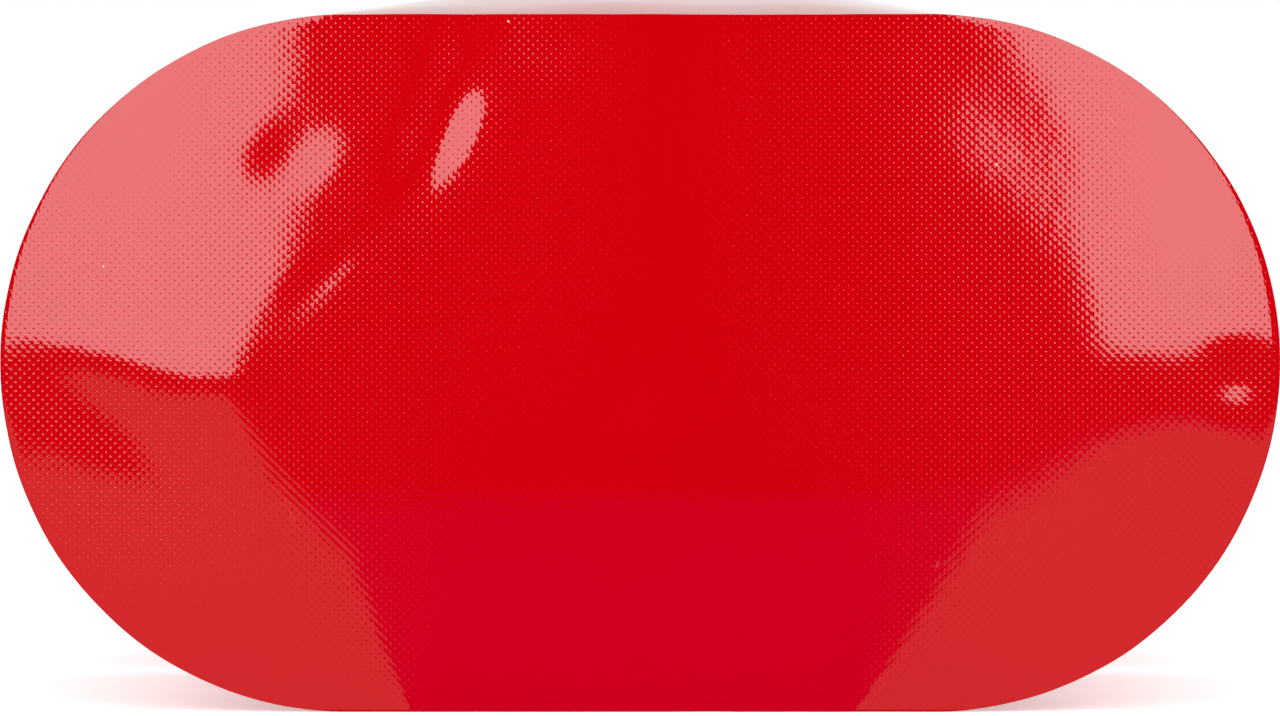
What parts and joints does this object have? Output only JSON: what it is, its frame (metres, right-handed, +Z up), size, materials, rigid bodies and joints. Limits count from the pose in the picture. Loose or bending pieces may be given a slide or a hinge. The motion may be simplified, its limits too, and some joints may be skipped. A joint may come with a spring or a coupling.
{
  "type": "road flare carry bag with flares",
  "caption": "Open-topped red coated-fabric bag with a round-ended flat base, side grab handles, D-rings and a foam rack that holds capped stick road flares.",
  "frame": {"origin": "on the ground under the middle of the bag, which lies on its back", "axes": "-Y out of the flat base panel, +Y out of the mouth along the flares, +Z up through the swollen front wall, +X towards the right handle"},
  "size_m": [0.2784, 0.3092, 0.148],
  "materials": {
    "coated_fabric_base": "glossy PVC coating over a plain woven polyester base",
    "coated_fabric_wall": "glossy PVC coating over a plain woven polyester base",
    "seam_tape": "heat-welded PVC tape",
    "webbing": "black polypropylene webbing, matt",
    "binding": "black polyester binding tape",
    "grip": "black moulded rubber, matt",
    "reflective": "silver retroreflective film",
    "window": "clear PVC window, glossy",
    "card": "blank card, matt",
    "board": "black stiffening board, matt",
    "foam": "charcoal closed-cell foam, matt",
    "flare_paper": "red waxed paper tube, satin",
    "composition": "pressed dry powder, matt",
    "igniter": "dark pressed igniter composition, matt",
    "cap": "off-white moulded polyethylene, satin",
    "striker": "gritty dark red striking surface, matt",
    "steel_wire": "nickel-plated steel wire, bright"
  },
  "bodies": {
    "bag": {"base_panel": "coated_fabric_base", "base_board": "board", "base_pad": "foam", "body_wall": "coated_fabric_wall", "seam_tape": "seam_tape", "mouth_binding": "binding", "reflective_band": "reflective", "label_card": "card", "label_window": "window", "foam_rack": "foam", "left_handle": "webbing", "right_handle": "webbing", "left_grip": "grip", "right_grip": "grip", "left_tab": "webbing", "right_tab": "webbing"},
    "left_ring": {"left_d_ring": "steel_wire"},
    "right_ring": {"right_d_ring": "steel_wire"},
    "flare_1": {"flare_1_tube": "flare_paper", "flare_1_fill": "composition", "flare_1_button": "igniter"},
    "cap_1": {"flare_1_cap": "cap", "flare_1_striker": "striker"},
    "flare_2": {"flare_2_tube": "flare_paper", "flare_2_fill": "composition", "flare_2_button": "igniter"},
    "cap_2": {"flare_2_cap": "cap", "flare_2_striker": "striker"},
    "flare_3": {"flare_3_tube": "flare_paper", "flare_3_fill": "composition", "flare_3_button": "igniter"},
    "cap_3": {"flare_3_cap": "cap", "flare_3_striker": "striker"},
    "flare_4": {"flare_4_tube": "flare_paper", "flare_4_fill": "composition", "flare_4_button": "igniter"},
    "cap_4": {"flare_4_cap": "cap", "flare_4_striker": "striker"},
    "flare_5": {"flare_5_tube": "flare_paper", "flare_5_fill": "composition", "flare_5_button": "igniter"},
    "cap_5": {"flare_5_cap": "cap", "flare_5_striker": "striker"},
    "flare_6": {"flare_6_tube": "flare_paper", "flare_6_fill": "composition", "flare_6_button": "igniter"},
    "cap_6": {"flare_6_cap": "cap", "flare_6_striker": "striker"},
    "flare_7": {"flare_7_tube": "flare_paper", "flare_7_fill": "composition", "flare_7_button": "igniter"},
    "cap_7": {"flare_7_cap": "cap", "flare_7_striker": "striker"},
    "flare_8": {"flare_8_tube": "flare_paper", "flare_8_fill": "composition", "flare_8_button": "igniter"},
    "cap_8": {"flare_8_cap": "cap", "flare_8_striker": "striker"}
  },
  "joints": [
    {"name": "left_ring_swing", "type": "hinge", "parent": "bag", "child": "left_ring", "pos_m": [-0.1299, 0.0632, 0.069], "axis": [0, 0, 1], "range_deg": [0, 150]},
    {"name": "right_ring_swing", "type": "hinge", "parent": "bag", "child": "right_ring", "pos_m": [0.1299, 0.0632, 0.069], "axis": [0, 0, -1], "range_deg": [0, 150]},
    {"name": "flare_1_draw", "type": "slide", "parent": "bag", "child": "flare_1", "axis": [0, 1, 0], "range_m": [0, 0.235]},
    {"name": "cap_1_pull", "type": "slide", "parent": "flare_1", "child": "cap_1", "axis": [0, 1, 0], "range_m": [0, 0.05]},
    {"name": "flare_2_draw", "type": "slide", "parent": "bag", "child": "flare_2", "axis": [0, 1, 0], "range_m": [0, 0.235]},
    {"name": "cap_2_pull", "type": "slide", "parent": "flare_2", "child": "cap_2", "axis": [0, 1, 0], "range_m": [0, 0.05]},
    {"name": "flare_3_draw", "type": "slide", "parent": "bag", "child": "flare_3", "axis": [0, 1, 0], "range_m": [0, 0.235]},
    {"name": "cap_3_pull", "type": "slide", "parent": "flare_3", "child": "cap_3", "axis": [0, 1, 0], "range_m": [0, 0.05]},
    {"name": "flare_4_draw", "type": "slide", "parent": "bag", "child": "flare_4", "axis": [0, 1, 0], "range_m": [0, 0.235]},
    {"name": "cap_4_pull", "type": "slide", "parent": "flare_4", "child": "cap_4", "axis": [0, 1, 0], "range_m": [0, 0.05]},
    {"name": "flare_5_draw", "type": "slide", "parent": "bag", "child": "flare_5", "axis": [0, 1, 0], "range_m": [0, 0.235]},
    {"name": "cap_5_pull", "type": "slide", "parent": "flare_5", "child": "cap_5", "axis": [0, 1, 0], "range_m": [0, 0.05]},
    {"name": "flare_6_draw", "type": "slide", "parent": "bag", "child": "flare_6", "axis": [0, 1, 0], "range_m": [0, 0.235]},
    {"name": "cap_6_pull", "type": "slide", "parent": "flare_6", "child": "cap_6", "axis": [0, 1, 0], "range_m": [0, 0.05]},
    {"name": "flare_7_draw", "type": "slide", "parent": "bag", "child": "flare_7", "axis": [0, 1, 0], "range_m": [0, 0.235]},
    {"name": "cap_7_pull", "type": "slide", "parent": "flare_7", "child": "cap_7", "axis": [0, 1, 0], "range_m": [0, 0.05]},
    {"name": "flare_8_draw", "type": "slide", "parent": "bag", "child": "flare_8", "axis": [0, 1, 0], "range_m": [0, 0.235]},
    {"name": "cap_8_pull", "type": "slide", "parent": "flare_8", "child": "cap_8", "axis": [0, 1, 0], "range_m": [0, 0.05]}
  ]
}
